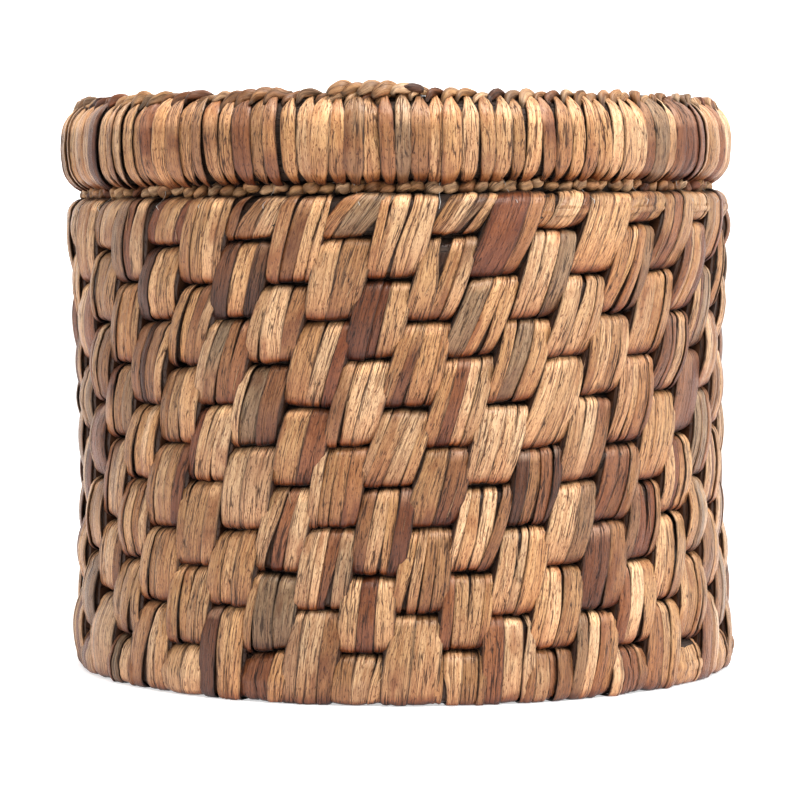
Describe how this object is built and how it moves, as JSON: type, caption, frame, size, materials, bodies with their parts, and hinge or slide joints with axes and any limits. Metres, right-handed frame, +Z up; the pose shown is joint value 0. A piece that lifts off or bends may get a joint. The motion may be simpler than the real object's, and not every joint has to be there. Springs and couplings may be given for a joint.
{
  "type": "storage basket",
  "caption": "Round open storage basket of coiled seagrass, with strip-bound coils, a drawn-in waist and a thick wrapped rim edged with braids.",
  "frame": {"origin": "on the floor, under the centre of the basket's box", "axes": "+Z up along the basket's axis, the braid's overlapped end at the front, which faces -Y, and +X to the right"},
  "size_m": [0.412, 0.412, 0.3491],
  "materials": {
    "coil_core": "matte dried leaf bundle",
    "seagrass_strip": "satin flat dried strip with fine lengthwise fibres, honey to dark brown",
    "braid": "satin plaited strip",
    "nylon_thread": "clear nylon thread"
  },
  "bodies": {
    "root": {"base_coil": "coil_core", "wall_coil_01": "coil_core", "wall_coil_02": "coil_core", "wall_coil_03": "coil_core", "wall_coil_04": "coil_core", "wall_coil_05": "coil_core", "wall_coil_06": "coil_core", "wall_coil_07": "coil_core", "wall_coil_08": "coil_core", "wall_coil_09": "coil_core", "wall_coil_10": "coil_core", "wall_coil_11": "coil_core", "wall_coil_12": "coil_core", "wall_lead_in": "coil_core", "wall_tail": "coil_core", "rim_core": "coil_core", "base_centre_knot": "seagrass_strip", "base_stitches_01": "seagrass_strip", "base_stitches_02": "seagrass_strip", "base_stitches_03": "seagrass_strip", "base_stitches_04": "seagrass_strip", "base_stitches_05": "seagrass_strip", "base_stitches_06": "seagrass_strip", "wall_stitches_01": "seagrass_strip", "wall_stitches_02": "seagrass_strip", "wall_stitches_03": "seagrass_strip", "wall_stitches_04": "seagrass_strip", "wall_stitches_05": "seagrass_strip", "wall_stitches_06": "seagrass_strip", "wall_stitches_07": "seagrass_strip", "wall_stitches_08": "seagrass_strip", "wall_stitches_09": "seagrass_strip", "wall_stitches_10": "seagrass_strip", "wall_stitches_11": "seagrass_strip", "foot_wraps": "seagrass_strip", "top_wraps": "seagrass_strip", "rim_wraps_01": "seagrass_strip", "rim_wraps_02": "seagrass_strip", "rim_wraps_03": "seagrass_strip", "rim_wraps_04": "seagrass_strip", "rim_top_braid": "braid", "rim_braid_tail": "braid", "seam_braid": "braid", "nylon_ties": "nylon_thread"}
  },
  "joints": []
}
